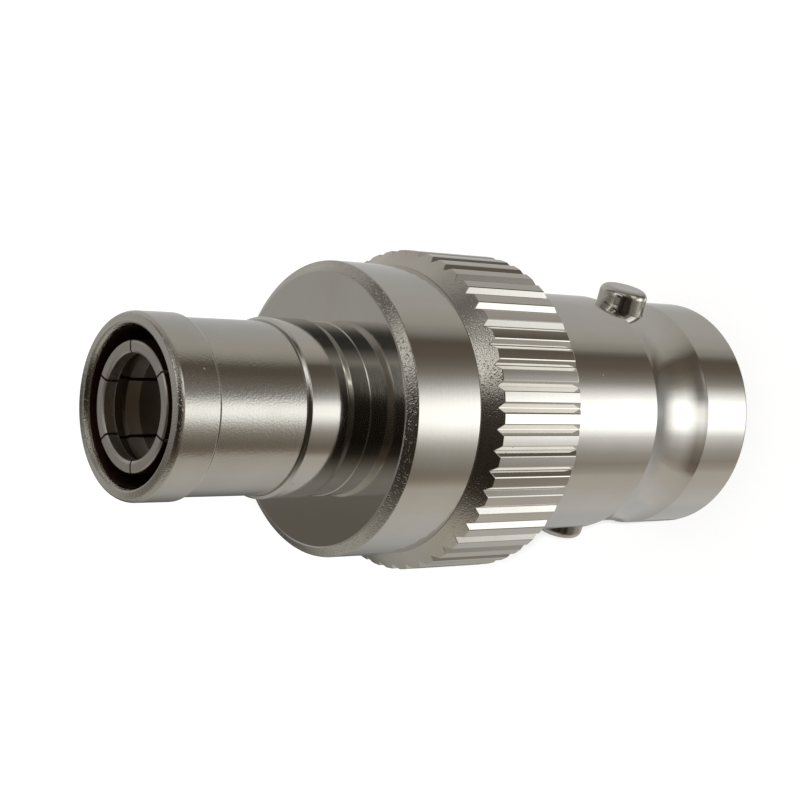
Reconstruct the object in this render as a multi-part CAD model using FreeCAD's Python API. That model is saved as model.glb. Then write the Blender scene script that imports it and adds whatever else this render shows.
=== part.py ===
import FreeCAD, Part
import os

from FreeCAD import Vector

os.makedirs("parts", exist_ok=True)

# Straight coaxial adapter: a BNC socket below, an SMB push-on end above.
# All lengths are millimetres. Z is the adapter's axis, Z = 0 is the face of the BNC mouth, on which
# the adapter stands, and the bayonet studs lie along X.

# Lengths along the axis, from the BNC mouth upwards
lip_length = 2.5
waist_length = 3.2
barrel_length = 5.5
collar_length = 4.6
flange_length = 3.23
neck_length = 0.77
ring_length = 2.0
shroud_length = 5.4

# Outside of the BNC body
lip_diameter = 9.46
waist_diameter = 9.16
barrel_diameter = 9.66
lip_edge_chamfer = 0.12
collar_diameter = 12.24
groove_count = 48
groove_width = 0.4
groove_depth = 0.19
groove_turn = 6.4

# Inside of the BNC body
mouth_counterbore = 8.45
mouth_counterbore_depth = 1.0
mouth_chamfer = 0.18
mouth_bore = 8.12
mouth_depth = 5.9
web_bore = 5.8
web_thickness = 2.7

# Bayonet studs
stud_diameter = 2.0
stud_span = 11.0
stud_from_barrel = 1.18
stud_edge_chamfer = 0.2

# Outside of the SMB body
flange_diameter = 11.02
flange_face_diameter = 10.26
flange_chamfer_length = 0.28
neck_diameter = 6.42
ring_diameter = 6.6
ring_front_chamfer = 0.1
ring_bevel_length = 0.28

# Inside of the SMB body
socket_spigot_diameter = 7.2
socket_spigot_length = 3.0
shroud_spigot_length = 1.1
bead_bore = 3.2
collet_seat_depth = 1.1

# Shroud of the SMB end
shroud_diameter = 6.3
shroud_wall = 0.37
shroud_lip_rise = 0.15
shroud_lip_length = 1.7
shroud_lip_fade = 0.45
shroud_outer_chamfer_width = 0.09
shroud_outer_chamfer_length = 0.19
shroud_inner_chamfer_width = 0.11
shroud_inner_chamfer_length = 0.17

# Collet of the SMB end
collet_diameter = 4.6
collet_bore = 4.02
collet_recess = 0.18
finger_count = 6
finger_length = 3.9
slot_turn = 21.4
slot_mouth_width = 0.08
slot_root_width = 0.2
ridge_diameter = 3.7
ridge_length = 0.4
lead_in_length = 0.1
lead_in_diameter = 3.9
finger_edge_chamfer = 0.06
ridge_back_slope = 0.06

# Centre contact and bead of the SMB end
bead_from_mouth = 3.2
smb_contact_from_mouth = 1.9
smb_contact_diameter = 1.0
smb_pin_hole = 0.52
smb_pin_hole_depth = 2.2
smb_saw_cut = 0.12
smb_saw_cut_length = 1.9
smb_contact_collar_diameter = 1.8
smb_contact_collar_length = 1.2
smb_contact_collar_rise = 2.4
tail_diameter = 0.9
tail_grip = 2.5

# Centre contact and insulator of the BNC end
nose_diameter = 4.76
nose_from_mouth = 1.2
bnc_contact_from_mouth = 1.35
bnc_contact_diameter = 2.1
bnc_pin_hole = 1.36
bnc_pin_hole_depth = 5.0
bnc_saw_cut = 0.24
bnc_saw_cut_length = 3.6
bnc_contact_collar_diameter = 3.0
bnc_contact_collar_length = 1.2
bnc_contact_collar_rise = 0.9

# Fits
press_gap = 0.01

# Sizes and heights that follow from these
shroud_bore = shroud_diameter - 2 * shroud_wall
waist_start = lip_length
barrel_start = waist_start + waist_length
stud_height = barrel_start - stud_from_barrel
collar_start = barrel_start + barrel_length
flange_start = collar_start + collar_length
neck_start = flange_start + flange_length
ring_start = neck_start + neck_length
shroud_start = ring_start + ring_length
top = shroud_start + shroud_length
web_top = mouth_depth + web_thickness
socket_spigot_start = flange_start - socket_spigot_length
bnc_collar_low = web_top + bnc_contact_collar_rise
smb_collar_low = socket_spigot_start + smb_contact_collar_rise
smb_collar_high = smb_collar_low + smb_contact_collar_length
tail_end = socket_spigot_start - tail_grip
collet_seat = shroud_start - collet_seat_depth
collet_top = top - collet_recess
bead_top = top - bead_from_mouth


def turned(corners, arcs=None):
    """Solid turned about Z from (radius, height) corners.

    arcs gives, for each corner where a round wall starts, a point in the middle of that wall.
    """
    arcs = arcs or {}
    edges = []
    for corner, following in zip(corners, corners[1:] + corners[:1]):
        start = Vector(corner[0], 0, corner[1])
        end = Vector(following[0], 0, following[1])
        if corner in arcs:
            radius, height = arcs[corner]
            edges.append(Part.Arc(start, Vector(radius, 0, height), end).toShape())
        else:
            edges.append(Part.LineSegment(start, end).toShape())
    face = Part.Face(Part.Wire(edges))
    return face.revolve(Vector(0, 0, 0), Vector(0, 0, 1), 360)


def spun(shape, angle):
    """Copy of the shape, turned about the adapter's axis by an angle in degrees."""
    copy = shape.copy()
    copy.rotate(Vector(0, 0, 0), Vector(0, 0, 1), angle)
    return copy


def polygon_prism(corners, sweep):
    """Solid swept along a vector from a flat polygon."""
    return Part.Face(Part.makePolygon(corners + corners[:1])).extrude(sweep)


def groove_cutters():
    """Straight V cutters round the collar, open at both of its ends."""
    outer = collar_diameter / 2
    bottom = outer - groove_depth
    reach = 2 * groove_depth
    half_width = groove_width / 2 * reach / groove_depth
    corners = [
        Vector(bottom, 0, collar_start - reach),
        Vector(bottom + reach, half_width, collar_start - reach),
        Vector(bottom + reach, -half_width, collar_start - reach),
    ]
    cutter = polygon_prism(corners, Vector(0, 0, collar_length + 2 * reach))
    pitch = 360 / groove_count
    return [spun(cutter, groove_turn + number * pitch) for number in range(groove_count)]


def radial_rod(diameter, inner, outer, height):
    """Round rod along X from one radius to another."""
    return Part.makeCylinder(diameter / 2, outer - inner, Vector(inner, 0, height), Vector(1, 0, 0))


def saw_cut(width, low, high, reach):
    """Flat blade along X, through the axis, between two heights."""
    return Part.makeBox(2 * reach, width, high - low, Vector(-reach, -width / 2, low))


def bnc_body():
    """Mouth lip, waist, barrel and knurled collar, bored from both ends."""
    lip = lip_diameter / 2
    barrel = barrel_diameter / 2
    collar = collar_diameter / 2
    flange = flange_diameter / 2
    counterbore = mouth_counterbore / 2
    mouth = mouth_bore / 2
    web = web_bore / 2
    socket = socket_spigot_diameter / 2
    cone_start = flange_start - (collar - flange)
    corners = [
        (counterbore + mouth_chamfer, 0),
        (lip - lip_edge_chamfer, 0),
        (lip, lip_edge_chamfer),
        (lip, waist_start),
        (barrel, barrel_start),
        (barrel, collar_start),
        (collar, collar_start),
        (collar, cone_start),
        (flange, flange_start),
        (socket, flange_start),
        (socket, web_top),
        (web, web_top),
        (web, mouth_depth),
        (mouth, mouth_depth),
        (mouth, mouth_counterbore_depth + counterbore - mouth),
        (counterbore, mouth_counterbore_depth),
        (counterbore, mouth_chamfer),
    ]
    # The waist is one hollow arc from the lip to the barrel.
    waist = {(lip, waist_start): (waist_diameter / 2, waist_start + waist_length / 2)}
    body = turned(corners, waist).cut(groove_cutters())
    hole = radial_rod(stud_diameter + 2 * press_gap, 0, stud_span / 2, stud_height)
    return body.cut([hole, spun(hole, 180)])


def bayonet_studs():
    """Two pins pressed through the waist, flush with the mouth's bore."""
    inner = mouth_bore / 2 + press_gap
    outer = stud_span / 2
    stud = radial_rod(stud_diameter, inner, outer, stud_height)
    rims = [edge for edge in stud.Edges if edge.BoundBox.XMin > outer - press_gap]
    stud = stud.makeChamfer(stud_edge_chamfer, rims)
    return Part.makeCompound([stud, spun(stud, 180)])


def smb_body():
    """Flange, neck and ring, with a spigot at each end."""
    flange = flange_diameter / 2
    neck = neck_diameter / 2
    ring = ring_diameter / 2
    socket = socket_spigot_diameter / 2 - press_gap
    spigot = shroud_bore / 2 - press_gap
    bead = bead_bore / 2
    seat = collet_diameter / 2 + press_gap
    corners = [
        (bead, socket_spigot_start),
        (socket, socket_spigot_start),
        (socket, flange_start),
        (flange, flange_start),
        (flange, neck_start - flange_chamfer_length),
        (flange_face_diameter / 2, neck_start),
        (neck, neck_start),
        (neck, ring_start),
        (ring, ring_start + ring_bevel_length),
        (ring, shroud_start - ring_front_chamfer),
        (ring - ring_front_chamfer, shroud_start),
        (spigot, shroud_start),
        (spigot, shroud_start + shroud_spigot_length),
        (seat, shroud_start + shroud_spigot_length),
        (seat, collet_seat),
        (bead, collet_seat),
    ]
    return turned(corners)


def smb_shroud():
    """Sleeve with a thick lip at its mouth, pressed over the spigot."""
    outer = shroud_diameter / 2
    bore = shroud_bore / 2
    lip = outer + shroud_lip_rise
    lip_start = top - shroud_lip_length
    fade_start = lip_start - shroud_lip_fade
    corners = [
        (bore, shroud_start),
        (outer, shroud_start),
        (outer, fade_start),
        (lip, lip_start),
        (lip, top - shroud_outer_chamfer_length),
        (lip - shroud_outer_chamfer_width, top),
        (bore + shroud_inner_chamfer_width, top),
        (bore, top - shroud_inner_chamfer_length),
    ]
    return turned(corners)


def finger_slot():
    """Slot from the axis outwards, narrow at the mouth and wider at the fingers' root."""
    root = collet_top - finger_length
    spare = collet_recess
    half_mouth = slot_mouth_width / 2
    half_root = slot_root_width / 2
    corners = [
        Vector(0, -half_mouth, collet_top + spare),
        Vector(0, half_mouth, collet_top + spare),
        Vector(0, half_root, root),
        Vector(0, -half_root, root),
    ]
    return polygon_prism(corners, Vector(collet_diameter, 0, 0))


def smb_collet():
    """Outer contact: a tube sawn into spring fingers with a snap ridge inside their tips."""
    outer = collet_diameter / 2
    bore = collet_bore / 2
    ridge = ridge_diameter / 2
    ridge_front = collet_top - lead_in_length
    ridge_back = ridge_front - ridge_length
    corners = [
        (bore, collet_seat),
        (outer, collet_seat),
        (outer, collet_top - finger_edge_chamfer),
        (outer - finger_edge_chamfer, collet_top),
        (lead_in_diameter / 2, collet_top),
        (ridge, ridge_front),
        (ridge, ridge_back),
        (bore, ridge_back - ridge_back_slope),
    ]
    slot = finger_slot()
    pitch = 360 / finger_count
    slots = [spun(slot, slot_turn + number * pitch) for number in range(finger_count)]
    return turned(corners).cut(slots)


def smb_insulator():
    """Bead through the SMB body, with a wide head inside the collet."""
    head = collet_bore / 2 - press_gap
    stem = bead_bore / 2 - press_gap
    hole = smb_contact_diameter / 2 + press_gap
    pocket = smb_contact_collar_diameter / 2 + press_gap
    corners = [
        (pocket, socket_spigot_start),
        (stem, socket_spigot_start),
        (stem, collet_seat),
        (head, collet_seat),
        (head, bead_top),
        (hole, bead_top),
        (hole, smb_collar_high),
        (pocket, smb_collar_high),
    ]
    return turned(corners)


def smb_socket():
    """Slotted socket, a collar that stops it in the bead, and a tail that joins the BNC contact."""
    rod = smb_contact_diameter / 2
    hole = smb_pin_hole / 2
    tail = tail_diameter / 2
    collar = smb_contact_collar_diameter / 2
    tip = top - smb_contact_from_mouth
    hole_end = tip - smb_pin_hole_depth
    corners = [
        (0, tail_end),
        (tail, tail_end),
        (tail, smb_collar_low),
        (collar, smb_collar_low),
        (collar, smb_collar_high),
        (rod, smb_collar_high),
        (rod, tip),
        (hole, tip),
        (hole, hole_end),
        (0, hole_end),
    ]
    return turned(corners).cut(saw_cut(smb_saw_cut, tip - smb_saw_cut_length, tip, rod))


def bnc_insulator():
    """Stepped insulator: nose in the mouth, waist in the web, head trapped by the SMB body."""
    nose = nose_diameter / 2
    web = web_bore / 2 - press_gap
    head = socket_spigot_diameter / 2 - press_gap
    hole = bnc_contact_diameter / 2 + press_gap
    pocket = bnc_contact_collar_diameter / 2 + press_gap
    corners = [
        (hole, nose_from_mouth),
        (nose, nose_from_mouth),
        (nose, mouth_depth),
        (web, mouth_depth),
        (web, web_top),
        (head, web_top),
        (head, socket_spigot_start),
        (pocket, socket_spigot_start),
        (pocket, bnc_collar_low),
        (hole, bnc_collar_low),
    ]
    return turned(corners)


def bnc_socket():
    """Socket sawn into tines, a collar that stops it in the insulator, and a rear hole."""
    rod = bnc_contact_diameter / 2
    hole = bnc_pin_hole / 2
    collar = bnc_contact_collar_diameter / 2
    tail_hole = tail_diameter / 2 + press_gap
    tip = bnc_contact_from_mouth
    hole_end = tip + bnc_pin_hole_depth
    collar_high = bnc_collar_low + bnc_contact_collar_length
    corners = [
        (hole, tip),
        (rod, tip),
        (rod, bnc_collar_low),
        (collar, bnc_collar_low),
        (collar, collar_high),
        (rod, collar_high),
        (rod, socket_spigot_start),
        (tail_hole, socket_spigot_start),
        (tail_hole, tail_end),
        (0, tail_end),
        (0, hole_end),
        (hole, hole_end),
    ]
    cut = saw_cut(bnc_saw_cut, tip, tip + bnc_saw_cut_length, rod)
    return turned(corners).cut([cut, spun(cut, 90)])


pieces = {
    "bnc_body": bnc_body,
    "bayonet_studs": bayonet_studs,
    "smb_body": smb_body,
    "smb_shroud": smb_shroud,
    "smb_collet": smb_collet,
    "smb_insulator": smb_insulator,
    "smb_socket": smb_socket,
    "bnc_insulator": bnc_insulator,
    "bnc_socket": bnc_socket,
}

for name, make in pieces.items():
    make().exportStep("parts/" + name + ".step")
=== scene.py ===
# %% [markdown]
# # A BNC to SMB adapter on a photographer's table
# The real part is a straight coaxial adapter, 27 mm long, turned from brass and plated with bright
# nickel. A BNC socket with two bayonet studs is at one end, a knurled collar and a flange are in
# the middle, and an SMB push-on end with six spring fingers is at the other.
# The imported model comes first, because it is the fixed frame: every piece made here takes the
# place of one of its nodes and stays where that node is.

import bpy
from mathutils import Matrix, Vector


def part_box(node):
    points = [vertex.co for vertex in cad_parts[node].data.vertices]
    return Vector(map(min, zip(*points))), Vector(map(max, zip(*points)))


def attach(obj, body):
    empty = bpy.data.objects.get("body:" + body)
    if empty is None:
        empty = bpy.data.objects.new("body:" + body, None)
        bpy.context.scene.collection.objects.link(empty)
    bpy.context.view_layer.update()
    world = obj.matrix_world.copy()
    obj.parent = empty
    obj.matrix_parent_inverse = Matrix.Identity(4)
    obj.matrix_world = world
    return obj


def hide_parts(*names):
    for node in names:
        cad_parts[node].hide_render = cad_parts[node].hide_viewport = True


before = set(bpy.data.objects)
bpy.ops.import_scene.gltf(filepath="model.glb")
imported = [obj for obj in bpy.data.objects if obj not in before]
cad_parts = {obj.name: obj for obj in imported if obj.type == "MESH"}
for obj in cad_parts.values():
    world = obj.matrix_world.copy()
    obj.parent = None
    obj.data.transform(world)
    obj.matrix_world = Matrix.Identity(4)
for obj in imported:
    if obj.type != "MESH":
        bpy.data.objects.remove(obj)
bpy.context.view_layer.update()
print("nodes in the frame:", sorted(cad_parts))

# %% [markdown]
# ## Units and small helpers
# Blender works in metres here and the adapter's drawing is in millimetres, so one value turns one
# into the other.

# %% Units and selection
from math import cos, degrees, pi, radians, sin

import bmesh
import bpy
from mathutils import Quaternion, Vector

MM = 0.001


def deselect_everything():
    """Back to object mode with nothing selected."""
    if bpy.context.object and bpy.context.object.mode != "OBJECT":
        bpy.ops.object.mode_set(mode="OBJECT")
    bpy.ops.object.select_all(action="DESELECT")


def make_active(piece):
    """The piece alone is selected and active."""
    deselect_everything()
    piece.select_set(True)
    bpy.context.view_layer.objects.active = piece


def direction_to(azimuth, elevation):
    """Unit vector from the adapter towards an azimuth and an elevation."""
    flat = cos(elevation)
    return Vector((flat * cos(azimuth), flat * sin(azimuth), sin(elevation)))


deselect_everything()
print("one drawing unit is", MM, "m")

# %% [markdown]
# ## The camera
# The photograph was matched before anything was modelled. The ellipses of the collar, the flange
# and the sleeve gave the direction of view, and their sizes gave the distance. The adapter stands
# on its BNC mouth here, while the picture shows it lying along the frame, so the camera is rolled
# by almost a quarter turn.

# %% Camera
camera_aim = Vector((0.3423, 0.125, 14.9966)) * MM
camera_distance = 69.6806 * MM
camera_azimuth = radians(-69.94)
camera_elevation = radians(39.91)
camera_roll = radians(-89.14)
camera_lens = 81.53
camera_sensor = 36.0
nearest_seen = 0.005
farthest_seen = 10

towards_camera = direction_to(camera_azimuth, camera_elevation)
camera_data = bpy.data.cameras.new("portrait_camera")
camera_data.lens = camera_lens
camera_data.sensor_width = camera_sensor
camera_data.clip_start = nearest_seen
camera_data.clip_end = farthest_seen
camera = bpy.data.objects.new("portrait_camera", camera_data)
camera.location = camera_aim + towards_camera * camera_distance
camera.rotation_mode = "QUATERNION"
upright = (-towards_camera).to_track_quat("-Z", "Y")
camera.rotation_quaternion = upright @ Quaternion((0, 0, 1), camera_roll)
bpy.context.scene.collection.objects.link(camera)
bpy.context.scene.camera = camera
print("camera at", [round(value / MM, 2) for value in camera.location], "mm")

# %% [markdown]
# ## Colours and nodes
# Colours are written as they look on a screen, in hex, and one function turns them to the linear
# values that a shader works with. The others add a shader node with its settings and links, mix
# two shaders and fill a ramp.
# A Mix node names some sockets alike, so those go by number: 6 and 7 are its two colours, and
# output 2 is their blend.

# %% Colour and node helpers
def linear(hex_colour):
    """Linear RGBA of an sRGB hex colour."""
    values = []
    for start in (1, 3, 5):
        share = int(hex_colour[start : start + 2], 16) / 255
        if share <= 0.04045:
            values.append(share / 12.92)
        else:
            values.append(((share + 0.055) / 1.055) ** 2.4)
    return (*values, 1.0)


def add_node(tree, kind, inputs=None, **settings):
    """Adds a shader node. An input is given a value, or the socket that feeds it."""
    node = tree.nodes.new("ShaderNode" + kind)
    for name, value in settings.items():
        setattr(node, name, value)
    for name, value in (inputs or {}).items():
        if isinstance(value, bpy.types.NodeSocket):
            tree.links.new(value, node.inputs[name])
        else:
            node.inputs[name].default_value = value
    return node


def mix_shaders(tree, share, first, second):
    """Goes from the first shader to the second as the share goes from 0 to 1."""
    return add_node(tree, "MixShader", {0: share, 1: first.outputs[0], 2: second.outputs[0]})


def fill_ramp(node, stops):
    """Gives a colour ramp its (position, colour) stops, 32 at most."""
    elements = node.color_ramp.elements
    while len(elements) > 1:
        elements.remove(elements[-1])
    elements[0].position = stops[0][0]
    elements[0].color = stops[0][1]
    for position, colour in stops[1:]:
        elements.new(position).color = colour
    return node


plain_white = linear("#FFFFFF")
print("white is", plain_white)

# %% [markdown]
# ## What the metal mirrors
# Bright nickel has hardly a colour of its own: it shows the room. The photograph was taken between
# cards, and the barrel shows them one after the other as long bands: a white strip towards the
# camera, a dark brown card on one side of it, a narrow shadow on the other, and grey walls beyond.
# The waist and the chamfers lean other ways, and show that the strip is a low window: it is
# brightest well below the horizon and fades above and below that. What faces up mirrors the
# upper part of the room, dark round the camera and grey beyond the adapter.
# So the room is a stack of rings round the adapter, each for one height of the mirrored ray. The
# BNC lip shows the table ring, the sleeve the skirt ring, and barrel, collar and flange a blend of
# both. The waist goes from the foot ring to the knee ring, the flange's face shows the brow ring,
# and the cone and the chamfers the upper and crown rings. Only glossy rays see the rings. Camera
# rays see plain white, and matt surfaces are lit by plain white light.

# %% Tones of the cards
white = (1.0, 1.0, 1.0)
neutral = (1.0, 0.97, 0.94)
warm = (1.0, 0.94, 0.86)
amber = (1.0, 0.90, 0.78)
brown = (1.0, 0.83, 0.66)
print("five tones, from white to", brown)

# %% [markdown]
# ## The rings of cards
# Each card is an angle in degrees from the camera's side, a brightness and a tone, and a ring
# blends from card to card. The cards were first placed by how bright the bands on the metal are
# in the photograph, and were then corrected band by band, by comparing renders with it. Both ends
# of a ring are alike, so that no seam shows from behind.

# %% Rings below the horizon
nadir_ring = [(-180, 1.3, white), (180, 1.3, white)]
foot_ring = [
    (-180, 0.45, neutral), (-100, 0.55, neutral), (-70, 0.4, neutral), (-35, 0.33, neutral),
    (0, 0.5, white), (35, 0.27, white), (58, 0.13, brown), (76, 0.12, brown), (92, 0.32, warm),
    (120, 0.42, neutral), (180, 0.45, neutral),
]
table_ring = [
    (-180, 0.9, white), (-172, 0.9, white), (-168, 0.25, warm), (-160, 0.28, warm),
    (-154, 0.5, white), (-122, 0.55, white), (-110, 0.62, neutral), (-93, 0.6, neutral),
    (-82, 0.57, warm), (-64, 0.53, warm), (-61, 0.44, amber), (-52, 0.35, amber),
    (-42, 0.44, warm), (-32, 0.64, neutral), (-25, 0.95, white), (-18, 1.6, white),
    (-12, 2.0, white), (8, 2.0, white), (15, 1.5, white), (21, 0.85, white), (28, 0.42, warm),
    (35, 0.24, amber), (43, 0.17, brown), (55, 0.13, brown), (60, 0.2, amber), (64, 0.34, warm),
    (74, 0.46, warm), (90, 0.5, neutral), (128, 0.49, neutral), (155, 0.54, white),
    (168, 0.64, white), (180, 0.9, white),
]
skirt_ring = [
    (-180, 0.38, neutral), (-175, 0.14, neutral), (-160, 0.14, neutral), (-146, 0.24, neutral),
    (-132, 0.4, neutral), (-120, 0.49, neutral), (-96, 0.56, neutral), (-80, 0.56, warm),
    (-65, 0.5, warm), (-61, 0.42, amber), (-57, 0.24, brown), (-49, 0.17, brown),
    (-38, 0.22, amber), (-29, 0.34, amber), (-21, 0.6, neutral), (-13, 1.12, white),
    (-7, 1.45, white), (2, 1.38, white), (8, 0.86, white), (14, 0.38, neutral),
    (21, 0.22, warm), (31, 0.17, amber), (44, 0.12, brown), (56, 0.12, brown), (61, 0.25, warm),
    (72, 0.42, warm), (84, 0.48, warm), (100, 0.48, neutral), (125, 0.5, white),
    (150, 0.55, white), (175, 0.62, white), (180, 0.38, neutral),
]
knee_ring = [
    (-180, 0.43, neutral), (-172, 0.34, neutral), (-165, 0.09, neutral), (-153, 0.16, neutral),
    (-140, 0.38, neutral), (-118, 0.48, neutral), (-92, 0.5, neutral), (-74, 0.42, warm),
    (-62, 0.2, brown), (-50, 0.09, brown), (-38, 0.16, amber), (-24, 0.26, amber),
    (-6, 0.3, amber), (8, 0.42, warm), (18, 0.95, white), (33, 0.95, white), (41, 0.4, neutral),
    (50, 0.18, brown), (62, 0.28, warm), (76, 0.4, neutral), (92, 0.48, neutral),
    (120, 0.54, neutral), (150, 0.6, neutral), (163, 0.48, neutral), (180, 0.43, neutral),
]
print("cards on the table ring:", len(table_ring))

# %% Rings at the horizon and above
level_ring = [
    (-180, 0.4, neutral), (-172, 0.3, neutral), (-166, 0.09, neutral), (-153, 0.14, neutral),
    (-140, 0.4, neutral), (-119, 0.5, neutral), (-95, 0.5, warm), (-76, 0.3, warm),
    (-62, 0.11, brown), (-40, 0.03, brown), (-13, 0.05, brown), (2, 0.08, brown),
    (17, 0.13, amber), (33, 0.17, amber), (45, 0.24, warm), (61, 0.24, warm), (72, 0.2, warm),
    (86, 0.36, neutral), (107, 0.52, neutral), (146, 0.6, neutral), (160, 0.48, neutral),
    (180, 0.4, neutral),
]
rim_ring = [
    (-180, 0.03, brown), (-178.4, 0.03, brown), (-177, 0.44, neutral), (-140, 0.54, neutral),
    (-100, 0.55, warm), (-78, 0.48, warm), (-63, 0.1, brown), (-21, 0.03, brown),
    (7, 0.04, brown), (22, 0.16, amber), (37, 0.55, neutral), (51, 0.75, white),
    (66, 0.42, neutral), (78, 0.26, neutral), (92, 0.38, neutral), (110, 0.52, neutral),
    (150, 0.52, neutral), (177, 0.46, neutral), (178.4, 0.03, brown), (180, 0.03, brown),
]
brow_ring = [
    (-180, 0.42, neutral), (-178, 0.42, neutral), (-177, 0.14, amber), (-168, 0.17, amber),
    (-150, 0.3, neutral), (-108, 0.36, neutral), (-90, 0.27, neutral), (-75, 0.13, amber),
    (-62, 0.03, brown), (-44, 0.01, brown), (1, 0.015, brown), (14, 0.02, brown),
    (28, 0.05, amber), (42, 0.13, neutral), (54, 0.18, neutral), (64, 0.38, neutral),
    (74, 0.22, neutral), (88, 0.06, neutral), (108, 0.05, neutral), (121, 0.1, neutral),
    (133, 0.24, neutral), (145, 0.39, neutral), (180, 0.42, neutral),
]
upper_ring = [
    (-180, 0.31, neutral), (-173, 0.2, amber), (-150, 0.26, neutral), (-122, 0.34, neutral),
    (-100, 0.26, amber), (-86, 0.2, amber), (-71, 0.08, brown), (-49, 0.04, brown),
    (-22, 0.05, brown), (-4, 0.08, amber), (8, 0.16, amber), (16, 0.5, neutral),
    (25, 1.4, white), (44, 1.4, white), (60, 0.8, white), (71, 0.48, neutral),
    (85, 0.26, amber), (106, 0.24, neutral), (128, 0.27, neutral), (150, 0.42, neutral),
    (173, 0.42, neutral), (180, 0.31, neutral),
]
crown_ring = [
    (-180, 0.23, neutral), (-120, 0.24, neutral), (-92, 0.12, amber), (-72, 0.03, brown),
    (-21, 0.04, brown), (12, 0.04, brown), (27, 0.12, amber), (40, 0.35, neutral),
    (56, 0.65, white), (59, 2.2, white), (64, 2.2, white), (67, 0.7, white), (82, 0.6, white),
    (94, 0.34, neutral), (180, 0.23, neutral),
]
ceiling_ring = [(-180, 0.42, neutral), (180, 0.42, neutral)]
# Each ring takes over from the one below it between two heights of the ray, in degrees.
rings_above_nadir = [
    (-84, -78, foot_ring),
    (-68, -55, table_ring),
    (-47, -36, skirt_ring),
    (-30, -21, knee_ring),
    (-6, -1, level_ring),
    (14, 18, rim_ring),
    (27.5, 35, brow_ring),
    (40.3, 41.8, upper_ring),
    (46.5, 51, crown_ring),
    (74, 86, ceiling_ring),
]
print("rings of cards:", 1 + len(rings_above_nadir))

# %% Surround for reflections
matt_light = 0.42


def ring_stops(ring):
    """Turns the cards of a ring into places and colours on a ramp."""
    return [
        (angle / 360 + 0.5, (*(level * part for part in tone), 1.0)) for angle, level, tone in ring
    ]


world = bpy.data.worlds.new("studio_surround")
world.use_nodes = True
world.cycles.sampling_method = "NONE"
bpy.context.scene.world = world
sky = world.node_tree
sky.nodes.clear()
ray = add_node(sky, "TexCoord").outputs["Generated"]
turned_ray = add_node(
    sky, "Mapping", {"Vector": ray, "Rotation": (0, 0, -camera_azimuth)}
).outputs["Vector"]
round_the_part = add_node(
    sky, "TexGradient", {"Vector": turned_ray}, gradient_type="RADIAL"
).outputs["Fac"]
height_of_ray = add_node(sky, "SeparateXYZ", {"Vector": ray}).outputs["Z"]
room = fill_ramp(
    add_node(sky, "ValToRGB", {"Fac": round_the_part}), ring_stops(nadir_ring)
).outputs["Color"]
for start, end, ring in rings_above_nadir:
    cards = fill_ramp(add_node(sky, "ValToRGB", {"Fac": round_the_part}), ring_stops(ring))
    heights = {"From Min": sin(radians(start)), "From Max": sin(radians(end))}
    share = add_node(sky, "MapRange", {"Value": height_of_ray, **heights})
    blend = {"Factor": share.outputs["Result"], 6: room, 7: cards.outputs["Color"]}
    room = add_node(sky, "Mix", blend, data_type="RGBA").outputs[2]
seen_by_metal = add_node(sky, "Background", {"Color": room, "Strength": 1.0})
lights_matt = add_node(sky, "Background", {"Color": plain_white, "Strength": matt_light})
seen_by_camera = add_node(sky, "Background", {"Color": plain_white, "Strength": 1.0})
rays = add_node(sky, "LightPath")
not_seen = mix_shaders(sky, rays.outputs["Is Glossy Ray"], lights_matt, seen_by_metal)
all_rays = mix_shaders(sky, rays.outputs["Is Camera Ray"], not_seen, seen_by_camera)
add_node(sky, "OutputWorld", {"Surface": all_rays.outputs[0]})
bpy.context.scene.view_settings.view_transform = "Standard"
print("the surround has", len(sky.nodes), "nodes")

# %% [markdown]
# ## The table
# The table is a plain white sheet. It renders white where no shadow falls: the lamp and the room
# give most of that, and a little light that only the camera sees gives the rest, so the soft
# shadow stays. Mirrored rays pass through it, because the rings already hold the table that the
# nickel shows. Seen from below it is clear, so the open BNC mouth can be looked into.

# %% Table
table_size = 0.9
table_white = "#F1F1F0"
table_lift = 0.20

deselect_everything()
bpy.ops.mesh.primitive_plane_add(size=table_size, location=(0, 0, 0))
table = bpy.context.object
table.name = "table"
table.visible_glossy = False
# Uncoated white paper: matt, without any shine of its own.
paper = bpy.data.materials.new("white_table_paper")
paper.use_nodes = True
tree = paper.node_tree
tree.nodes.clear()
matt = add_node(tree, "BsdfDiffuse", {"Color": linear(table_white)})
lift = add_node(tree, "Emission", {"Color": plain_white, "Strength": table_lift})
rays = add_node(tree, "LightPath")
nothing = add_node(tree, "Emission", {"Strength": 0.0})
camera_only = mix_shaders(tree, rays.outputs["Is Camera Ray"], nothing, lift)
lit = add_node(tree, "AddShader", {0: matt.outputs[0], 1: camera_only.outputs[0]})
clear = add_node(tree, "BsdfTransparent")
side = add_node(tree, "NewGeometry")
both = mix_shaders(tree, side.outputs["Backfacing"], lit, clear)
add_node(tree, "OutputMaterial", {"Surface": both.outputs[0]})
table.data.materials.append(paper)
print("the table is", table_size, "m wide")

# %% [markdown]
# ## The key light
# The key light is a soft sun close to the camera, a little nearer to the picture's upper left. So
# most of the shadow hides behind the part, and only a faint rim of it shows at the right. Metal
# doesn't mirror the sun, because the rings already hold all that the nickel shows.

# %% Key light
key_strength = 2.6
key_spread = radians(5)
key_azimuth = camera_azimuth + radians(5)
key_elevation = radians(44)

key_direction = direction_to(key_azimuth, key_elevation)
key_data = bpy.data.lights.new("key_light", "SUN")
key_data.energy = key_strength
key_data.angle = key_spread
key = bpy.data.objects.new("key_light", key_data)
key.rotation_mode = "QUATERNION"
key.rotation_quaternion = (-key_direction).to_track_quat("-Z", "Y")
key.visible_glossy = False
bpy.context.scene.collection.objects.link(key)
print("key light comes from", [round(value, 2) for value in key_direction])

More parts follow.
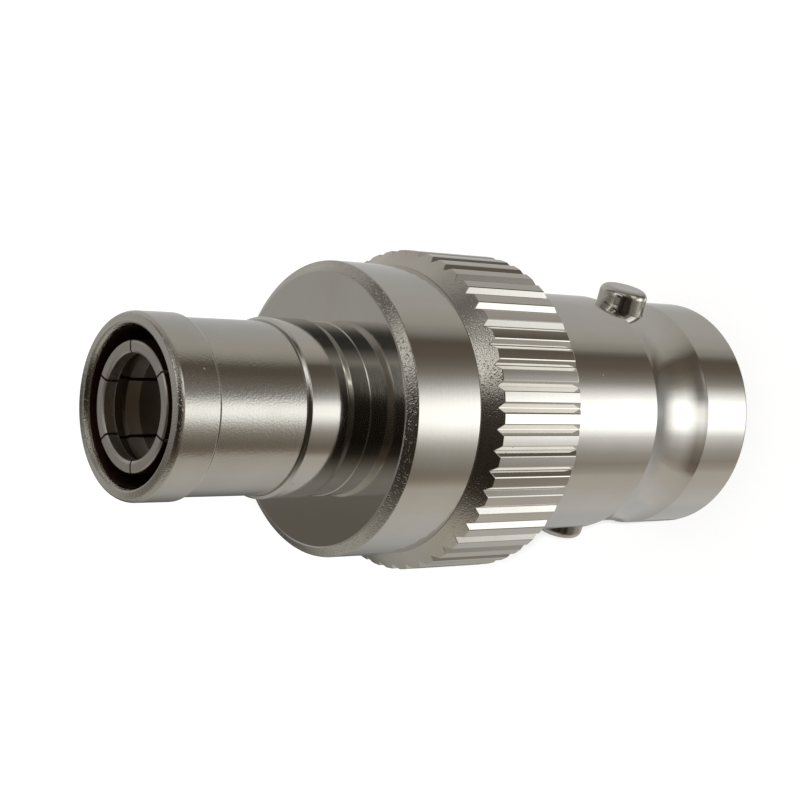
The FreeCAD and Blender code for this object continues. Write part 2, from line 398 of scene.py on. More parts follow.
# %% [markdown]
# ## How a turned part is made
# Nearly all of this adapter came off a lathe, so it is made like that here. A plane is merged to
# a single point at the first corner of the cut-through outline, the point is extruded from corner
# to corner, and a vertex bevel rounds each corner by its own amount. The closed outline is then
# spun about the adapter's axis.
# A cylinder with pushed and scaled rings would give the same shape, but an outline keeps each
# diameter and shoulder where the drawing has it.

# %% Turning helpers
# In millimetres: points closer than weld become one, a corner of an outline is found within
# corner_reach of its place, and any other point within reach of its own.
weld = 0.0005
corner_reach = 0.002
reach = 0.01
about_axis = {"center": (0, 0, 0), "axis": (0, 0, 1)}


def select_points(piece, wanted):
    """In edit mode, selects the vertices whose place in millimetres passes the test."""
    bpy.ops.mesh.select_mode(type="VERT")
    shape = bmesh.from_edit_mesh(piece.data)
    for point in shape.verts:
        point.select = bool(wanted(point.co / MM))
    shape.select_flush_mode()
    bmesh.update_edit_mesh(piece.data)


def draw_outline(name, corners):
    """Draws a closed outline of (radius, height, rounding, steps) corners, left in edit mode."""
    deselect_everything()
    bpy.ops.mesh.primitive_plane_add(size=MM, location=(0, 0, 0))
    piece = bpy.context.object
    piece.name = name
    piece.data.name = name
    bpy.ops.object.mode_set(mode="EDIT")
    bpy.ops.mesh.select_all(action="SELECT")
    bpy.ops.mesh.merge(type="CENTER")
    bpy.ops.transform.translate(value=(corners[0][0] * MM, 0, corners[0][1] * MM))
    for corner, following in zip(corners, corners[1:] + corners[:1]):
        step = ((following[0] - corner[0]) * MM, 0, (following[1] - corner[1]) * MM)
        bpy.ops.mesh.extrude_region_move(TRANSFORM_OT_translate={"value": step})
    bpy.ops.mesh.select_all(action="SELECT")
    bpy.ops.mesh.remove_doubles(threshold=weld * MM)
    for radius, height, rounding, steps in corners:
        if rounding:
            select_points(
                piece, lambda place: abs(place.x - radius) + abs(place.z - height) < corner_reach
            )
            bpy.ops.mesh.bevel(
                offset_type="OFFSET", offset=rounding * MM, segments=steps, affect="VERTICES"
            )
    return piece


def close_up(piece):
    """Merges the seam and the poles, turns all faces outwards and leaves edit mode."""
    bpy.ops.mesh.select_all(action="SELECT")
    bpy.ops.mesh.remove_doubles(threshold=weld * MM)
    bpy.ops.mesh.normals_make_consistent(inside=False)
    bpy.ops.object.mode_set(mode="OBJECT")
    return piece


def turn(name, corners, steps):
    """A solid turned from an outline."""
    piece = draw_outline(name, corners)
    bpy.ops.mesh.select_all(action="SELECT")
    bpy.ops.mesh.spin(steps=steps, angle=2 * pi, **about_axis)
    return close_up(piece)


print("turning helpers are ready")

# %% [markdown]
# ## Cutting, edges and shading
# A saw cut or a hole is a cutter taken out with a Boolean. Sharp edges get a small bevel, as
# plating and handling round them. Then shading is smooth below an angle, and a Weighted Normal
# modifier lets the wide faces decide how light runs over an edge, so they mirror as flat.

# %% Cutting, edge and shading helpers
def saw_block(middle, size, turned=0):
    """A block as a cutter, with its middle and size in millimetres, turned about the axis."""
    deselect_everything()
    bpy.ops.mesh.primitive_cube_add(size=MM, location=[place * MM for place in middle])
    block = bpy.context.object
    block.scale = size
    block.rotation_euler = (0, 0, turned)
    bpy.ops.object.transform_apply(location=True, rotation=True, scale=True)
    return block


def cut_away(piece, cutter):
    """Takes the cutter out of the piece, and deletes the cutter."""
    make_active(piece)
    bpy.ops.object.modifier_add(type="BOOLEAN")
    cut = piece.modifiers[-1]
    cut.operation = "DIFFERENCE"
    cut.solver = "EXACT"
    cut.object = cutter
    bpy.ops.object.modifier_apply(modifier=cut.name)
    bpy.data.objects.remove(cutter)


def break_edges(piece, width, angle):
    """A small bevel on every edge sharper than the angle."""
    make_active(piece)
    bpy.ops.object.modifier_add(type="BEVEL")
    bevel = piece.modifiers[-1]
    bevel.width = width * MM
    bevel.segments = 1
    bevel.limit_method = "ANGLE"
    bevel.angle_limit = radians(angle)
    bpy.ops.object.modifier_apply(modifier=bevel.name)


def resize(piece, factor):
    """Scales the mesh itself about the origin, so the object stays unscaled."""
    piece.scale = (factor, factor, factor)
    bpy.ops.object.transform_apply(location=False, rotation=False, scale=True)


def smooth(piece, angle, alike=10.0):
    """Smooth shading below the angle, with the wide faces deciding how light runs over an edge.

    Faces whose areas differ by less than alike, in square millimetres, count the same. The
    modifier can't tell such small areas apart in square metres, so the mesh is enlarged for it.
    """
    make_active(piece)
    bpy.ops.object.shade_smooth_by_angle(angle=radians(angle))
    resize(piece, 1 / MM)
    bpy.ops.object.modifier_add(type="WEIGHTED_NORMAL")
    weights = piece.modifiers[-1]
    weights.keep_sharp = True
    weights.weight = 100
    weights.thresh = alike
    bpy.ops.object.modifier_apply(modifier=weights.name)
    resize(piece, MM)


def hand_over(piece, node):
    """The piece takes the node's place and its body."""
    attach(piece, "root")
    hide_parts(node)
    piece.data.calc_loop_triangles()
    low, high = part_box(node)
    inside = all(
        low[axis] - reach * MM < point.co[axis] < high[axis] + reach * MM
        for point in piece.data.vertices
        for axis in range(3)
    )
    print(piece.name, len(piece.data.loop_triangles), "triangles, inside its node:", inside)


print("cutting and shading helpers are ready")

# %% [markdown]
# ## BNC body: one pitch of the knurled collar, copied round
# The body is one turned piece: mouth lip, hollow waist, barrel and collar. Its collar has 48
# straight V grooves. A boolean with 48 cutters would do it, but then the long faces between the
# grooves become odd many-cornered ones, which show in a mirror finish.
# So one pitch of 7.5 degrees is spun: two narrow steps for a groove and three for the land beside
# it. The middle line of the groove is pushed in, its two ends are drawn to a point on the
# chamfers, and the finished pitch is repeated 48 times round the axis.

# %% BNC body, its outline
hairline = 0.03

mouth_radius = 4.225
mouth_chamfer = 0.18
mouth_step = 1.0
bore_radius = 4.06
bore_end = 5.9
web_radius = 2.9
web_end = 8.6
socket_radius = 3.6

lip_radius = 4.73
lip_rounding = 0.12
lip_wall_start = 0.14
lip_top = 2.5
waist_apex = 4.39
waist_middle = 4.1
waist_rounding = 1.55
barrel_radius = 4.83
barrel_low = 5.7

collar_radius = 6.12
collar_low = 11.2
collar_top = 15.8
collar_rear_chamfer = 0.15
flange_radius = 5.51
cone_low = collar_top - (collar_radius - flange_radius)

body_outline = [
    (mouth_radius + mouth_chamfer, 0.0, hairline, 2),
    (lip_radius, 0.0, lip_rounding, 5),
    # This corner keeps the wall above the rounding flat in the shading.
    (lip_radius, lip_wall_start, 0, 1),
    (lip_radius, lip_top, hairline, 3),
    (waist_apex, waist_middle, waist_rounding, 16),
    (barrel_radius, barrel_low, hairline, 3),
    (barrel_radius, collar_low, 2 * hairline, 4),
    (collar_radius - collar_rear_chamfer, collar_low, 0, 1),
    (collar_radius, collar_low + collar_rear_chamfer, 0, 1),
    (collar_radius, cone_low, 0, 1),
    (flange_radius, collar_top, hairline, 3),
    (socket_radius, collar_top, 0, 1),
    (socket_radius, web_end, 0, 1),
    (web_radius, web_end, 0, 1),
    (web_radius, bore_end, 0, 1),
    (bore_radius, bore_end, 0.1, 3),
    (bore_radius, mouth_step + mouth_radius - bore_radius, 0, 1),
    (mouth_radius, mouth_step, 0, 1),
    (mouth_radius, mouth_chamfer, 0, 1),
]
print("outline of the BNC body has", len(body_outline), "corners")

# %% BNC body, one pitch
groove_count = 48
groove_width = 0.4
groove_depth = 0.19
groove_angle = radians(6.4)
groove_steps = 2
land_steps = 3
pitch = 2 * pi / groove_count
half_groove = groove_width / 2 / collar_radius
groove_bottom = collar_radius - groove_depth
chamfer_radius = collar_radius - collar_rear_chamfer
half_at_chamfer = half_groove * (chamfer_radius - groove_bottom) / groove_depth

bnc_shell = draw_outline("bnc_shell", body_outline)
bpy.ops.mesh.select_all(action="SELECT")
# With no window, rotate turns by the negative of its value, and spin turns clockwise seen from
# above, so both get a negative angle here to go anticlockwise.
bpy.ops.transform.rotate(
    value=-(groove_angle - half_groove), orient_axis="Z", center_override=(0, 0, 0)
)
bpy.ops.mesh.spin(steps=groove_steps, angle=-2 * half_groove, **about_axis)
bpy.ops.mesh.spin(steps=land_steps, angle=2 * half_groove - pitch, **about_axis)
print("one pitch is", round(degrees(pitch), 2), "degrees")

# %% BNC body, the groove and its copies
def spot(angle, radius, height):
    """The place at an angle, a radius and a height."""
    return Vector((radius * cos(angle), radius * sin(angle), height))


def move_point(start, end):
    """Moves the points of the body that are at one place to another."""
    select_points(bnc_shell, lambda place: (place - start).length < reach)
    bpy.ops.transform.translate(value=(end - start) * MM)


rear = collar_low + collar_rear_chamfer
tip_height = cone_low + groove_depth
for old_radius, old_height, new_height in (
    (collar_radius, cone_low, tip_height),
    (collar_radius, rear, rear),
    (chamfer_radius, collar_low, collar_low),
):
    move_point(
        spot(groove_angle, old_radius, old_height), spot(groove_angle, groove_bottom, new_height)
    )
# The last column of a pitch meets the first one of the next, so both are moved alike.
for middle, sign in ((groove_angle, -1), (groove_angle, 1), (groove_angle + pitch, -1)):
    move_point(
        spot(middle + sign * half_groove, chamfer_radius, collar_low),
        spot(middle + sign * half_at_chamfer, chamfer_radius, collar_low),
    )
bpy.ops.mesh.select_all(action="SELECT")
bpy.ops.mesh.spin(
    steps=groove_count - 1, dupli=True, angle=-pitch * (groove_count - 1), **about_axis
)
close_up(bnc_shell)
shape = bmesh.new()
shape.from_mesh(bnc_shell.data)
open_edges = sum(not edge.is_manifold for edge in shape.edges)
print("volume", round(shape.calc_volume() / MM**3, 1), "mm3, open edges", open_edges)
shape.free()

# %% [markdown]
# ## Small breaks and the two holes for the studs
# A knurling wheel leaves no razor edges and the plating rounds them a little more. A bevel of two
# hundredths of a millimetre on every sharp edge catches the light along each groove. The holes for
# the bayonet studs come after it, so that their rims stay crisp against the pins.

# %% Edge breaks and stud holes
stud_radius = 1.0
stud_gap = 0.01
stud_height = 4.52
edge_break = 0.02
hole_middle = 4.6
hole_length = 2.5

break_edges(bnc_shell, edge_break, angle=35)
for side_sign in (-1, 1):
    deselect_everything()
    bpy.ops.mesh.primitive_cylinder_add(
        vertices=64,
        radius=(stud_radius + stud_gap) * MM,
        depth=hole_length * MM,
        location=(side_sign * hole_middle * MM, 0, stud_height * MM),
        rotation=(0, pi / 2, 0),
    )
    cut_away(bnc_shell, bpy.context.object)
smooth(bnc_shell, angle=20)
hand_over(bnc_shell, "bnc_body")

# %% [markdown]
# ## Bayonet studs
# Two short pins are pressed through the waist, and the ramps of a BNC plug catch on them. A
# cylinder is added at its place and its outer rim is bevelled. The second stud is a copy, turned
# half round the axis.

# %% Bayonet studs
stud_inner = 4.07
stud_outer = 5.5
stud_rounding = 0.32

deselect_everything()
bpy.ops.mesh.primitive_cylinder_add(
    vertices=96,
    radius=stud_radius * MM,
    depth=(stud_outer - stud_inner) * MM,
    location=((stud_outer + stud_inner) / 2 * MM, 0, stud_height * MM),
    rotation=(0, pi / 2, 0),
)
studs = bpy.context.object
studs.name = "bayonet_pins"
studs.data.name = "bayonet_pins"
bpy.ops.object.transform_apply(location=True, rotation=True, scale=True)
bpy.ops.object.mode_set(mode="EDIT")
select_points(studs, lambda place: place.x > stud_outer - reach)
bpy.ops.mesh.bevel(offset=stud_rounding * MM, segments=8, affect="EDGES")
bpy.ops.mesh.select_all(action="SELECT")
bpy.ops.mesh.spin(steps=1, dupli=True, angle=pi, **about_axis)
close_up(studs)
smooth(studs, angle=35)
hand_over(studs, "bayonet_studs")

# %% [markdown]
# ## SMB body: flange, neck and ring
# The second turned piece is pressed into the first. Its flange sits on the collar's front cone and
# has a wide chamfer, a short neck is behind the face, and a ring with a bevelled rear edge carries
# the sleeve. The ring and the sleeve have many narrow faces that should count by their area when
# normals are weighted, so they get a very small limit for areas that are alike.

# %% SMB body
body_low = 12.8
bead_bore = 1.6
socket_spigot_radius = 3.59
flange_face_radius = 5.13
flange_chamfer_length = 0.28
flange_top = 19.03
neck_radius = 3.21
neck_top = 19.8
ring_radius = 3.3
ring_bevel_length = 0.28
ring_chamfer = 0.1
ring_top = 21.8
sleeve_spigot_radius = 2.77
sleeve_spigot_top = ring_top + 1.1
seat_radius = 2.31
seat_height = 20.7
alike_areas = 0.0001

smb_outline = [
    (bead_bore, body_low, 0, 1),
    (socket_spigot_radius, body_low, 0.05, 2),
    (socket_spigot_radius, collar_top, 0, 1),
    (flange_radius, collar_top, 0.04, 3),
    (flange_radius, flange_top - flange_chamfer_length, 0.05, 3),
    (flange_face_radius, flange_top, 0.05, 3),
    (neck_radius, flange_top, 0.04, 3),
    (neck_radius, neck_top, 0.02, 2),
    (ring_radius, neck_top + ring_bevel_length, 0.05, 3),
    (ring_radius, ring_top - ring_chamfer, 0.04, 2),
    (ring_radius - ring_chamfer, ring_top, 0.04, 2),
    (sleeve_spigot_radius, ring_top, 0, 1),
    (sleeve_spigot_radius, sleeve_spigot_top, 0.05, 2),
    (seat_radius, sleeve_spigot_top, 0.03, 2),
    (seat_radius, seat_height, 0, 1),
    (bead_bore, seat_height, 0, 1),
]
smb_shell = turn("smb_flange_and_ring", smb_outline, steps=192)
smooth(smb_shell, angle=16, alike=alike_areas)
hand_over(smb_shell, "smb_body")

# %% [markdown]
# ## Sleeve of the SMB end
# A thin sleeve guards the spring fingers. Its mouth is thicker, from a small sharp shoulder up to
# a rounded rim that falls a little outwards.

# %% Sleeve
sleeve_radius = 3.15
sleeve_bore = 2.78
sleeve_lip = 3.3
sleeve_top = 27.2
shoulder_low = 25.40
shoulder_high = 25.50
rim_fall = 0.022
outer_chamfer_width = 0.09
outer_chamfer_length = 0.19
inner_chamfer_width = 0.11
inner_chamfer_length = 0.17

sleeve_outline = [
    (sleeve_bore, ring_top, 0, 1),
    (sleeve_radius, ring_top, 0.03, 2),
    (sleeve_radius, shoulder_low, 0.03, 3),
    (sleeve_lip, shoulder_high, 0.07, 6),
    (sleeve_lip, sleeve_top - outer_chamfer_length, 0.08, 4),
    (sleeve_lip - outer_chamfer_width, sleeve_top - rim_fall, 0.05, 4),
    (sleeve_bore + inner_chamfer_width, sleeve_top, 0.05, 4),
    (sleeve_bore, sleeve_top - inner_chamfer_length, 0.08, 4),
]
sleeve = turn("smb_sleeve", sleeve_outline, steps=192)
smooth(sleeve, angle=20, alike=alike_areas)
hand_over(sleeve, "smb_shroud")

# %% [markdown]
# ## Six spring fingers
# The outer contact is a thin tube, turned with a snap ridge and a groove inside its front edge and
# sawn into six fingers. The tips are squeezed a little, so each slot is wider at its root. One
# wedge is made from a cube by scaling its upper end, and repeated six times round the axis.

# %% Collet, turned
collet_radius = 2.3
collet_bore = 2.01
finger_tip = 27.02
tip_chamfer = 0.06
lead_in_radius = 1.95
ridge_radius = 1.85
ridge_start = finger_tip - 0.06
ridge_end = finger_tip - 0.5
snap_groove_radius = 2.11
snap_groove_start = ridge_end - 0.08
snap_groove_end = finger_tip - 0.98
bore_start = snap_groove_end - 0.06
bright_depth = finger_tip - 1.6

collet_outline = [
    (collet_bore, seat_height, 0, 1),
    (collet_radius, seat_height, 0, 1),
    (collet_radius, finger_tip - tip_chamfer, 0.03, 3),
    (collet_radius - tip_chamfer, finger_tip, 0.03, 3),
    (lead_in_radius, finger_tip, 0.02, 3),
    (ridge_radius, ridge_start, 0.03, 4),
    (ridge_radius, ridge_end, 0.05, 4),
    (snap_groove_radius, snap_groove_start, 0.03, 3),
    (snap_groove_radius, snap_groove_end, 0.02, 2),
    (collet_bore, bore_start, 0.02, 2),
    (collet_bore, bright_depth, 0, 1),
]
collet = turn("smb_spring_fingers", collet_outline, steps=180)
print("outline of the fingers has", len(collet_outline), "corners")

# %% Collet, sawn into fingers
finger_count = 6
slot_angle = radians(21.4)
slot_root = 0.2
slot_mouth = 0.08
finger_root = 23.12
saw_top = finger_tip + 0.5
saw_height = saw_top - finger_root
saw_middle_radius = 2
saw_length = 2
finger_break = 0.015

saw = saw_block(
    (saw_middle_radius, 0, (finger_root + saw_top) / 2), (saw_length, slot_root, saw_height)
)
slope = (slot_root - slot_mouth) / (finger_tip - finger_root)
width_at_top = slot_root - slope * saw_height
bpy.ops.object.mode_set(mode="EDIT")
select_points(saw, lambda place: place.z > saw_top - reach)
bpy.ops.transform.resize(value=(1, width_at_top / slot_root, 1), center_override=(0, 0, 0))
bpy.ops.mesh.select_all(action="SELECT")
bpy.ops.transform.rotate(value=-slot_angle, orient_axis="Z", center_override=(0, 0, 0))
all_but_one = 2 * pi * (finger_count - 1) / finger_count
bpy.ops.mesh.spin(steps=finger_count - 1, dupli=True, angle=all_but_one, **about_axis)
close_up(saw)
saw_side = max((point.co for point in saw.data.vertices), key=lambda place: place.x)
side_angle = degrees(saw_side.xy.angle_signed(Vector((1, 0))))
print("one side of a slot is at", round(side_angle, 2), "degrees")
cut_away(collet, saw)
break_edges(collet, finger_break, angle=45)
# The saw leaves a few doubled points, which are merged before shading.
bpy.ops.object.mode_set(mode="EDIT")
close_up(collet)
smooth(collet, angle=30)
hand_over(collet, "smb_collet")

# %% [markdown]
# ## Inside the SMB end
# A white PTFE bead holds a gold-plated centre contact, whose tip is sawn in two so that it grips
# the pin of the plug. Both are hidden in the photograph, so they are plain turned pieces.

# %% SMB bead
bead_pocket = 0.91
bead_stem = 1.59
bead_head = 2.0
bead_hole = 0.51
bead_top = 24.0
contact_collar_low = 15.2
contact_collar_high = 16.4

bead_outline = [
    (bead_pocket, body_low, 0, 1),
    (bead_stem, body_low, 0.05, 2),
    (bead_stem, seat_height, 0, 1),
    (bead_head, seat_height, 0.04, 2),
    (bead_head, bead_top, 0.06, 3),
    (bead_hole, bead_top, 0.05, 3),
    (bead_hole, contact_collar_high, 0, 1),
    (bead_pocket, contact_collar_high, 0, 1),
]
bead = turn("smb_bead", bead_outline, steps=96)
smooth(bead, angle=35)
hand_over(bead, "smb_insulator")

# %% SMB centre contact
tail_radius = 0.45
tail_end = 10.3
contact_collar = 0.9
contact_radius = 0.5
contact_tip = 25.3
pin_hole_radius = 0.26
pin_hole_end = 23.1
contact_saw = (2, 0.12, 2.0)
contact_saw_middle = contact_tip - 0.9

contact_outline = [
    (0.0, tail_end, 0, 1),
    (tail_radius, tail_end, 0.08, 3),
    (tail_radius, contact_collar_low, 0, 1),
    (contact_collar, contact_collar_low, 0.04, 2),
    (contact_collar, contact_collar_high, 0.04, 2),
    (contact_radius, contact_collar_high, 0, 1),
    (contact_radius, contact_tip, 0.1, 4),
    (pin_hole_radius, contact_tip, 0.07, 3),
    (pin_hole_radius, pin_hole_end, 0, 1),
    (0.0, pin_hole_end, 0, 1),
]
contact = turn("smb_centre_contact", contact_outline, steps=72)
cut_away(contact, saw_block((0, 0, contact_saw_middle), contact_saw))
smooth(contact, angle=30)
hand_over(contact, "smb_socket")

# %% [markdown]
# ## Inside the BNC end
# The insulator's nose stands in the mouth, and a plug slides over it. The centre contact has four
# tines, made by two crossed saw cuts.

# %% BNC insulator
nose_radius = 2.38
nose_end = 1.2
web_fit = 2.89
head_radius = 3.59
core_hole = 1.06
core_pocket = 1.51
tine_collar_low = 9.5

bnc_core_outline = [
    (core_hole, nose_end, 0.08, 3),
    (nose_radius, nose_end, 0.15, 4),
    (nose_radius, bore_end, 0, 1),
    (web_fit, bore_end, 0, 1),
    (web_fit, web_end, 0, 1),
    (head_radius, web_end, 0.05, 2),
    (head_radius, body_low, 0.05, 2),
    (core_pocket, body_low, 0, 1),
    (core_pocket, tine_collar_low, 0, 1),
    (core_hole, tine_collar_low, 0, 1),
]
bnc_core = turn("bnc_dielectric", bnc_core_outline, steps=120)
smooth(bnc_core, angle=35)
hand_over(bnc_core, "bnc_insulator")

# %% BNC centre contact
tine_tip = 1.35
tine_radius = 1.05
tine_hole = 0.68
tine_hole_end = 6.35
tine_collar = 1.5
tine_collar_high = 10.7
tail_hole = 0.46
tine_saw = (4, 0.24, 4.1)
tine_saw_middle = tine_tip + 1.55

tine_outline = [
    (tine_hole, tine_tip, 0.1, 3),
    (tine_radius, tine_tip, 0.12, 4),
    (tine_radius, tine_collar_low, 0, 1),
    (tine_collar, tine_collar_low, 0.04, 2),
    (tine_collar, tine_collar_high, 0.04, 2),
    (tine_radius, tine_collar_high, 0, 1),
    (tine_radius, body_low, 0.05, 2),
    (tail_hole, body_low, 0, 1),
    (tail_hole, tail_end, 0, 1),
    (0.0, tail_end, 0, 1),
    (0.0, tine_hole_end, 0, 1),
    (tine_hole, tine_hole_end, 0, 1),
]
tines = turn("bnc_centre_contact", tine_outline, steps=96)
for blade_turn in (0, pi / 2):
    cut_away(tines, saw_block((0, 0, tine_saw_middle), tine_saw, blade_turn))
smooth(tines, angle=30)
hand_over(tines, "bnc_socket")

# %% [markdown]
# ## Bright nickel plate
# Nickel plate over turned brass is a mirror with a faintly warm grey colour. The eye reads it by
# three small things: rings left by the tool, a fine grain in the plating, and a few pits.
# The rings follow the distance from the axis and the height, so they run round every turned face.
# They are 0.11 mm apart, as a tool's feed leaves them. The real grain is much finer than a pixel,
# so it is drawn as coarse as it needs to show, 0.05 to 0.13 mm. Faint clouds 1.6 mm wide stain the
# colour and dull the shine a little. Each finish has its own roughness, and its own height of
# rings and grain, which is how far they tilt the surface.

# %% Plated metal
ring_spacing = 0.11
ring_drift = 0.02
cloud_size = 1.6


def plated(name, colours, roughness, rings, grain, pits):
    """Plated metal, in a clear and a stained colour.

    In millimetres, rings is their height, grain is its height and size, and pits is their
    spacing, radius and depth.
    """
    grain_height, grain_size = grain
    pit_spacing, pit_radius, pit_depth = pits
    metal = bpy.data.materials.new(name)
    metal.use_nodes = True
    tree = metal.node_tree
    tree.nodes.clear()
    place = add_node(tree, "TexCoord").outputs["Object"]
    parts = add_node(tree, "SeparateXYZ", {"Vector": place}).outputs
    flat = add_node(tree, "CombineXYZ", {"X": parts["X"], "Y": parts["Y"]})
    from_axis = add_node(
        tree, "VectorMath", {0: flat.outputs[0]}, operation="LENGTH"
    ).outputs["Value"]
    drift = add_node(
        tree, "VectorMath", {0: place, "Scale": ring_drift}, operation="SCALE"
    )
    along = add_node(tree, "CombineXYZ", {"X": from_axis, "Y": parts["Z"]})
    ring_place = add_node(
        tree, "VectorMath", {0: along.outputs[0], 1: drift.outputs[0]}, operation="ADD"
    )
    tool_rings = add_node(
        tree,
        "TexNoise",
        {"Vector": ring_place.outputs[0], "Scale": 1 / (ring_spacing * MM), "Detail": 2.0},
    )
    fine_grain = add_node(
        tree,
        "TexNoise",
        {"Vector": place, "Scale": 1 / (grain_size * MM), "Detail": 2.5, "Roughness": 0.6},
    )
    clouds = add_node(
        tree, "TexNoise", {"Vector": place, "Scale": 1 / (cloud_size * MM), "Detail": 2.0}
    )
    spots = add_node(
        tree, "TexVoronoi", {"Vector": place, "Scale": 1 / (pit_spacing * MM), "Randomness": 1.0}
    )
    dents = add_node(
        tree, "MapRange", {"Value": spots.outputs["Distance"], "From Max": pit_radius / pit_spacing}
    )
    normal = {}
    for height, depth in (
        (tool_rings.outputs["Fac"], rings),
        (fine_grain.outputs["Fac"], grain_height),
        (dents.outputs["Result"], pit_depth),
    ):
        relief = {"Height": height, "Distance": depth * MM, "Strength": 1.0}
        bump = add_node(tree, "Bump", {**relief, **normal})
        normal = {"Normal": bump.outputs["Normal"]}
    tint = add_node(
        tree,
        "Mix",
        {"Factor": clouds.outputs["Fac"], 6: linear(colours[0]), 7: linear(colours[1])},
        data_type="RGBA",
    )
    dulling = add_node(
        tree,
        "MapRange",
        {
            "Value": clouds.outputs["Fac"],
            "From Min": 0.3,
            "From Max": 0.7,
            "To Min": roughness * 0.85,
            "To Max": roughness * 1.15,
        },
    )
    surface = add_node(
        tree,
        "BsdfPrincipled",
        {
            "Base Color": tint.outputs[2],
            "Metallic": 1.0,
            "Roughness": dulling.outputs["Result"],
            **normal,
        },
    )
    add_node(tree, "OutputMaterial", {"Surface": surface.outputs[0]})
    return metal


print("plating has rings", ring_spacing, "mm apart and clouds of", cloud_size, "mm")

# %% Nickel finishes of the outside
scattered_pits = (1.1, 0.033, 0.02)
shallow_pits = (0.3, 0.045, 0.01)

# Polished before plating: a clear mirror, in which the cards are bands with clean edges.
polished_nickel = plated(
    "polished_nickel_plate", ("#D2D0CA", "#C9C6BE"), roughness=0.08,
    rings=0.0006, grain=(0.0006, 0.13), pits=scattered_pits,
)
# Plated as it came off the lathe: the bands have frayed edges and sparkle a little.
turned_nickel = plated(
    "turned_nickel_plate", ("#CECCC5", "#C2BFB6"), roughness=0.13,
    rings=0.0012, grain=(0.0045, 0.075), pits=scattered_pits,
)
# Chamfers left by a chattering tool: dark and bright specks side by side.
coarse_nickel = plated(
    "coarse_turned_nickel", ("#CCC9C1", "#AFAA9E"), roughness=0.10,
    rings=0.0030, grain=(0.0110, 0.055), pits=(0.11, 0.040, 0.010),
)
# Cone brushed after turning: the bands stay, with a fine glitter over them.
brushed_nickel = plated(
    "brushed_nickel_of_the_cone", ("#D2CFC7", "#B4AFA3"), roughness=0.10,
    rings=0.0022, grain=(0.0050, 0.050), pits=(0.11, 0.040, 0.004),
)
# Satin on the spring fingers: an even grey that mirrors only broad light and dark.
satin_nickel = plated(
    "satin_turned_nickel", ("#C8C6BF", "#BBB7AD"), roughness=0.36,
    rings=0.0015, grain=(0.0030, 0.13), pits=shallow_pits,
)
outside = (polished_nickel, turned_nickel, coarse_nickel, brushed_nickel, satin_nickel)
print("nickel finishes:", [metal.name for metal in outside])

# %% [markdown]
# ## Thin plating, and painted shade deep in the mouth
# A plating bath works poorly in deep and narrow places, and inside the bore of the fingers the
# nickel is thin and dull. Further down the bore and in the snap groove a dark grey nickel is
# painted shade, and in the gap between fingers and sleeve a dark reddish brown is painted shade.
# Both places look dark in the photograph, too.

# %% Thin and dull plating
# Thin nickel just inside the fingers: soft and a little yellow.
bore_nickel = plated(
    "thin_nickel_in_the_bore", ("#C2BBAE", "#A79E91"), roughness=0.45,
    rings=0.0020, grain=(0.0030, 0.13), pits=shallow_pits,
)
# Ridge rubbed by plugs: the lightest place in the mouth, broken up by scuffs.
ridge_nickel = plated(
    "burnished_nickel_of_the_ridge", ("#D8D5CE", "#BDB7AB"), roughness=0.38,
    rings=0.0060, grain=(0.0120, 0.06), pits=(0.16, 0.05, 0.014),
)
# Painted shade deep in the bore and in the snap groove: dark brownish grey, hardly a highlight.
painted_shade_nickel = plated(
    "painted_shade_deep_in_the_bore", ("#7A6F61", "#62584C"), roughness=0.42,
    rings=0.0020, grain=(0.0020, 0.13), pits=scattered_pits,
)
# Painted shade in the narrow gap between fingers and sleeve: a dark red-brown metal.
gap_painted_shade = plated(
    "red_brown_painted_shade_in_the_gap", ("#94705F", "#705043"), roughness=0.50,
    rings=0.0020, grain=(0.0020, 0.13), pits=scattered_pits,
)
mouth = (bore_nickel, ridge_nickel, painted_shade_nickel, gap_painted_shade)
print("finishes of the mouth:", [metal.name for metal in mouth])

# %% [markdown]
# ## Gold plate and PTFE
# The centre contacts carry hard gold, yellow and a little satin. The insulators are PTFE, a white
# plastic with a waxy, soft shine and faint marks of the tool.

# %% Gold and PTFE
# Hard gold on turned bronze: a deep yellow with softened mirrors.
hard_gold = plated(
    "hard_gold_plate", ("#E3B866", "#D9A955"), roughness=0.22,
    rings=0.0010, grain=(0.0010, 0.13), pits=(1.1, 0.022, 0.02),
)

# PTFE has a low index, so its shine is weak, and it looks like white wax.
mottle_size = 0.5
mark_height = 0.004
ptfe = bpy.data.materials.new("turned_white_ptfe")
ptfe.use_nodes = True
tree = ptfe.node_tree
tree.nodes.clear()
place = add_node(tree, "TexCoord").outputs["Object"]
mottle = add_node(
    tree, "TexNoise", {"Vector": place, "Scale": 1 / (mottle_size * MM), "Detail": 3.0}
).outputs["Fac"]
milky = add_node(
    tree,
    "Mix",
    {"Factor": mottle, 6: linear("#EFEEEA"), 7: linear("#E6E4DE")},
    data_type="RGBA",
)
marks = add_node(
    tree, "Bump", {"Height": mottle, "Distance": mark_height * MM, "Strength": 0.6}
)
wax = add_node(
    tree,
    "BsdfPrincipled",
    {
        "Base Color": milky.outputs[2],
        "Roughness": 0.42,
        "IOR": 1.35,
        "Normal": marks.outputs["Normal"],
    },
)
add_node(tree, "OutputMaterial", {"Surface": wax.outputs[0]})
print("made", hard_gold.name, "and", ptfe.name)

# %% [markdown]
# ## Giving each piece its finish
# The BNC end and the flange were polished before they were plated. The studs and the sleeve kept
# the fine marks of the tool. The flange's chamfer kept coarse ones and the collar's front cone was
# brushed, so those faces get a finish of their own, picked by their place and the way they face.

# %% Assign the finishes
cone_inner_radius = 5.3
cone_facing = 0.3
chamfer_depth = 0.3
leaning = 0.2
nearly_level = 0.98


def add_finish(piece, metal, wanted=None):
    """Gives the piece a finish, on all faces or on those whose place passes the test."""
    make_active(piece)
    piece.data.materials.append(metal)
    if wanted:
        slot_number = len(piece.data.materials) - 1
        for face in piece.data.polygons:
            if wanted(Vector(face.center) / MM, face.normal):
                face.material_index = slot_number


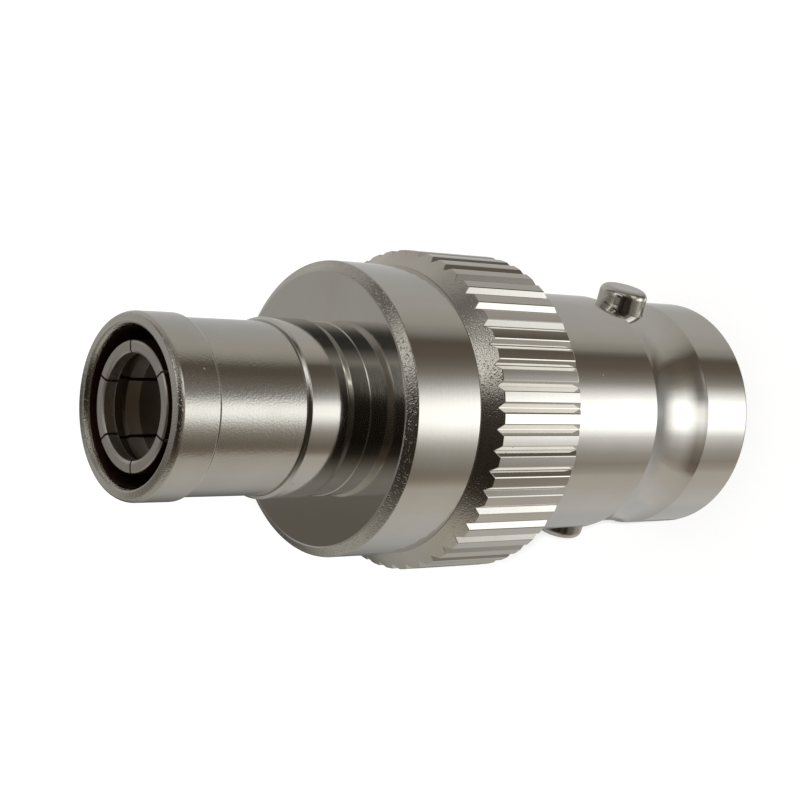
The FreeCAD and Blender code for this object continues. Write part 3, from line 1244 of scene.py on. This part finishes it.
for finish, pieces in (
    (polished_nickel, (bnc_shell, smb_shell)),
    (turned_nickel, (studs, sleeve)),
    (satin_nickel, (collet,)),
    (hard_gold, (contact, tines)),
    (ptfe, (bead, bnc_core)),
):
    for piece in pieces:
        add_finish(piece, finish)
add_finish(
    bnc_shell,
    brushed_nickel,
    lambda place, facing: place.z > cone_low
    and place.xy.length > cone_inner_radius
    and facing.z > cone_facing,
)
add_finish(
    smb_shell,
    coarse_nickel,
    lambda place, facing: flange_top - chamfer_depth < place.z < flange_top
    and place.xy.length > flange_face_radius
    and leaning < facing.z < nearly_level,
)
cone_faces = sum(face.material_index == 1 for face in bnc_shell.data.polygons)
print("brushed faces on the collar's cone:", cone_faces)

# %% [markdown]
# ## Finishes of the SMB mouth
# The rim of the sleeve kept coarse marks of the tool at its chamfers. Inside, the painted shade,
# dark grey in the bore and reddish brown in the gap, follows how deep a face lies.

# %% Assign the finishes of the mouth
rim_depth = 0.25
rim_level = 0.97
gap_depth = 0.2
finger_wall = 2.2
finger_outside = 2.25
margin = 0.05
bore_margin = 0.005
ridge_margin = 0.02
tip_margin = 0.08


def faces_axis(place, facing):
    """Tests whether a face looks towards the axis."""
    return place.xy.dot(facing.xy) < -0.3 * place.xy.length


add_finish(
    sleeve,
    coarse_nickel,
    lambda place, facing: place.z > sleeve_top - rim_depth and leaning < facing.z < rim_level,
)
# Painted shade, dark red-brown, on the faces in the gap: inside the sleeve and on the ring's spigot
# and seat.
add_finish(
    sleeve,
    gap_painted_shade,
    lambda place, facing: place.z < sleeve_top - gap_depth and faces_axis(place, facing),
)
add_finish(smb_shell, gap_painted_shade, lambda place, facing: place.z > ring_top + margin)
add_finish(
    collet,
    bore_nickel,
    lambda place, facing: ridge_radius + margin < place.xy.length < collet_bore + bore_margin
    and bright_depth < place.z < ridge_end + ridge_margin,
)
add_finish(
    collet,
    ridge_nickel,
    lambda place, facing: place.xy.length < ridge_radius + margin and faces_axis(place, facing),
)
# The dark grey is painted shade, on the bore's wall below bright_depth and in the snap groove.
add_finish(
    collet,
    painted_shade_nickel,
    lambda place, facing: place.xy.length < finger_wall
    and faces_axis(place, facing)
    and (place.z < bright_depth or place.xy.length > collet_bore + reach),
)
# Painted shade in the gap, dark red-brown, on the outside of the fingers.
add_finish(
    collet,
    gap_painted_shade,
    lambda place, facing: place.xy.length > finger_outside and place.z < finger_tip - tip_margin,
)
for number, metal in enumerate(collet.data.materials):
    count = sum(face.material_index == number for face in collet.data.polygons)
    print(metal.name, "is on", count, "faces of the fingers")
